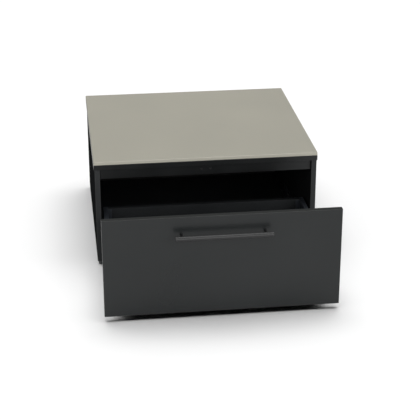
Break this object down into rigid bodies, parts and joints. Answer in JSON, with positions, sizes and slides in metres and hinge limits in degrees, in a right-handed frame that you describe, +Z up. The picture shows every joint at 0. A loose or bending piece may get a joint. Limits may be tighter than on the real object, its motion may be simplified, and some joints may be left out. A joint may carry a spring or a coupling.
{
  "type": "side table",
  "caption": "Low square side table with a pale top board and one full-width drawer on roller runners, drawn pulled out, with a round bar handle.",
  "frame": {"origin": "middle of the space taken up with the drawer pulled out, at floor level", "axes": "+Z up, +Y from the drawer's front towards the cabinet's back, +X to the right seen from the front"},
  "size_m": [0.65, 0.9934, 0.324],
  "materials": {
    "cover_foil": "satin grey-beige foil on particleboard",
    "dark_foil": "matt anthracite foil on particleboard",
    "front_foil": "satin anthracite foil on particleboard",
    "hardboard": "matt dark printed hardboard",
    "black_steel": "satin dark epoxy paint on steel sheet",
    "bright_steel": "zinc-plated steel",
    "handle_steel": "dark brushed steel",
    "dark_plastic": "matt moulded plastic",
    "roller_plastic": "smooth white nylon",
    "soft_plastic": "clear soft plastic",
    "beech": "bare beech"
  },
  "bodies": {
    "cabinet": {"back_panel": "hardboard", "bottom_panel": "dark_foil", "bottom_panel_dowel_left_1": "beech", "bottom_panel_dowel_left_2": "beech", "bottom_panel_dowel_right_1": "beech", "bottom_panel_dowel_right_2": "beech", "front_axle_left": "bright_steel", "front_axle_right": "bright_steel", "front_foot_left": "dark_plastic", "front_foot_right": "dark_plastic", "front_rail": "dark_foil", "front_rail_dowel_left_1": "beech", "front_rail_dowel_right_1": "beech", "left_side": "dark_foil", "rail_block": "beech", "rail_screw_left": "black_steel", "rail_screw_right": "black_steel", "rear_foot_left": "dark_plastic", "rear_foot_right": "dark_plastic", "rear_rail": "dark_foil", "rear_rail_dowel_left_1": "beech", "rear_rail_dowel_right_1": "beech", "right_side": "dark_foil", "runner_left": "black_steel", "runner_right": "black_steel", "runner_screw_left_1": "bright_steel", "runner_screw_left_2": "bright_steel", "runner_screw_right_1": "bright_steel", "runner_screw_right_2": "bright_steel", "top_cover": "cover_foil", "top_panel": "dark_foil"},
    "drawer": {"bumper_left": "soft_plastic", "bumper_right": "soft_plastic", "drawer_back": "dark_foil", "drawer_bottom": "dark_foil", "drawer_front": "front_foil", "drawer_side_left": "black_steel", "drawer_side_right": "black_steel", "front_bracket_left": "black_steel", "front_bracket_right": "black_steel", "front_screw_left_1": "bright_steel", "front_screw_left_2": "bright_steel", "front_screw_right_1": "bright_steel", "front_screw_right_2": "bright_steel", "handle_bar": "handle_steel", "handle_post_left": "handle_steel", "handle_post_right": "handle_steel", "handle_screw_left": "bright_steel", "handle_screw_right": "bright_steel", "rear_axle_left": "bright_steel", "rear_axle_right": "bright_steel", "rear_bracket_left": "black_steel", "rear_bracket_right": "black_steel", "rear_screw_left": "bright_steel", "rear_screw_right": "bright_steel"},
    "front_roller_left": {"front_roller_left": "roller_plastic"},
    "front_roller_right": {"front_roller_right": "roller_plastic"},
    "rear_roller_left": {"rear_roller_left": "roller_plastic"},
    "rear_roller_right": {"rear_roller_right": "roller_plastic"}
  },
  "joints": [
    {"name": "drawer_slide", "type": "slide", "parent": "cabinet", "child": "drawer", "axis": [0, -1, 0], "range_m": [-0.338, 0]},
    {"name": "front_roller_left_spin", "type": "hinge", "parent": "cabinet", "child": "front_roller_left", "pos_m": [-0.301, -0.07725, 0.0485], "axis": [1, 0, 0], "continuous": true},
    {"name": "front_roller_right_spin", "type": "hinge", "parent": "cabinet", "child": "front_roller_right", "pos_m": [0.301, -0.07725, 0.0485], "axis": [1, 0, 0], "continuous": true},
    {"name": "rear_roller_left_spin", "type": "hinge", "parent": "drawer", "child": "rear_roller_left", "pos_m": [-0.301, -0.04575, 0.0485], "axis": [1, 0, 0], "continuous": true},
    {"name": "rear_roller_right_spin", "type": "hinge", "parent": "drawer", "child": "rear_roller_right", "pos_m": [0.301, -0.04575, 0.0485], "axis": [1, 0, 0], "continuous": true}
  ],
  "couplings": [
    {"joint": "front_roller_left_spin", "follows": "drawer_slide", "rad_per_m": 90.909},
    {"joint": "front_roller_right_spin", "follows": "drawer_slide", "rad_per_m": 90.909},
    {"joint": "rear_roller_left_spin", "follows": "drawer_slide", "rad_per_m": 90.909},
    {"joint": "rear_roller_right_spin", "follows": "drawer_slide", "rad_per_m": 90.909}
  ]
}
